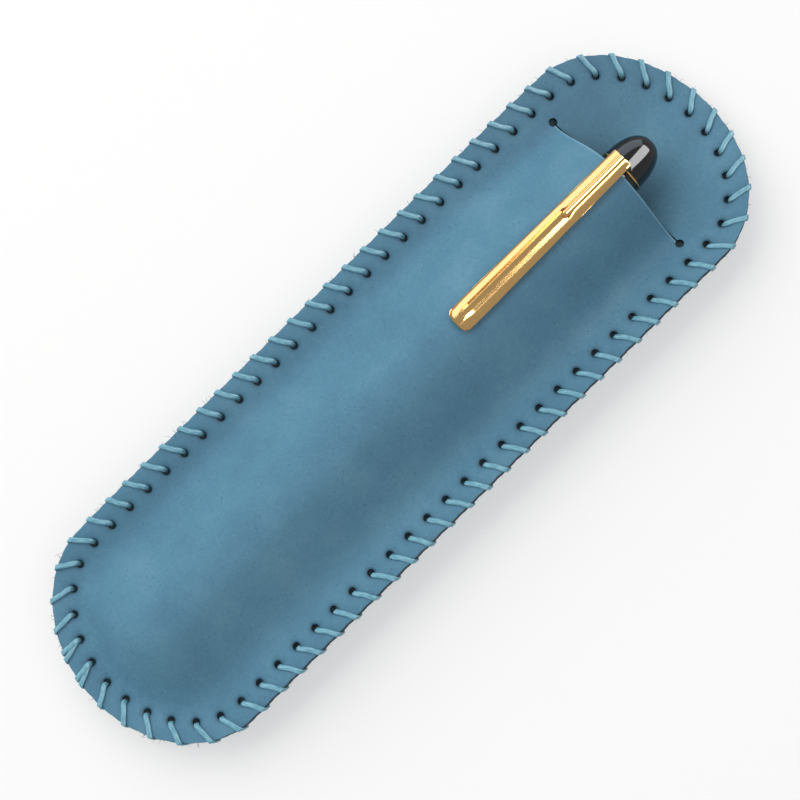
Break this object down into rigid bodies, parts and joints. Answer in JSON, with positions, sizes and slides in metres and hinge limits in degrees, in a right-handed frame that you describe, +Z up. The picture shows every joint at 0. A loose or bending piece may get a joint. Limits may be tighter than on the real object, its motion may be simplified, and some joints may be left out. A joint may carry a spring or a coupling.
{
  "type": "single pen sleeve",
  "caption": "Whip-stitched leather pen sleeve with a slit mouth, holding a capped pen whose clip grips the slit's lip.",
  "frame": {"origin": "centre of the sleeve on the surface it lies on", "axes": "+Y along the sleeve towards the slit end, +Z up out of the front panel, +X to the right"},
  "size_m": [0.0512, 0.166, 0.0204],
  "materials": {
    "leather": "matt nubuck, blue",
    "thread": "waxed flat thread",
    "resin": "polished black resin",
    "gold": "polished gold plate",
    "feed_plastic": "moulded",
    "clear_plastic": "clear moulded tube",
    "steel": "plated",
    "seal": "moulded seal"
  },
  "bodies": {
    "sleeve": {"back_panel": "leather", "front_panel": "leather", "edge_thread": "thread"},
    "pen_barrel": {"barrel": "resin", "tail_ring": "gold", "tail_button": "resin", "grip_section": "resin", "section_ring": "gold", "feed": "feed_plastic", "nib": "gold", "ink_tube": "clear_plastic", "ink_collar": "steel"},
    "pen_cap": {"cap_tube": "resin", "cap_crown": "resin", "clip_ring": "gold", "cap_band": "gold", "inner_cap": "resin"},
    "pen_clip": {"clip": "gold"},
    "ink_knob": {"ink_knob": "feed_plastic"},
    "ink_piston": {"piston": "seal", "piston_rod": "steel"}
  },
  "joints": [
    {"name": "pen_slide", "type": "slide", "parent": "sleeve", "child": "pen_barrel", "axis": [0, 0.9994, 0.034], "range_m": [0, 0.13]},
    {"name": "cap_pull", "type": "slide", "parent": "pen_barrel", "child": "pen_cap", "axis": [0, 0.9994, 0.034], "range_m": [0, 0.045]},
    {"name": "clip_flex", "type": "hinge", "parent": "pen_cap", "child": "pen_clip", "pos_m": [0, 0.06017, 0.01375], "axis": [-1, 0, 0], "range_deg": [0, 3.5]},
    {"name": "knob_turn", "type": "hinge", "parent": "pen_barrel", "child": "ink_knob", "pos_m": [0, -0.0375, 0.00673], "axis": [0, 0.9994, 0.034], "range_deg": [0, 1800]},
    {"name": "piston_slide", "type": "slide", "parent": "pen_barrel", "child": "ink_piston", "axis": [0, 0.9994, 0.034], "range_m": [0, 0.0095]}
  ],
  "couplings": [
    {"joint": "knob_turn", "follows": "piston_slide", "rad_per_m": 3306.9}
  ]
}
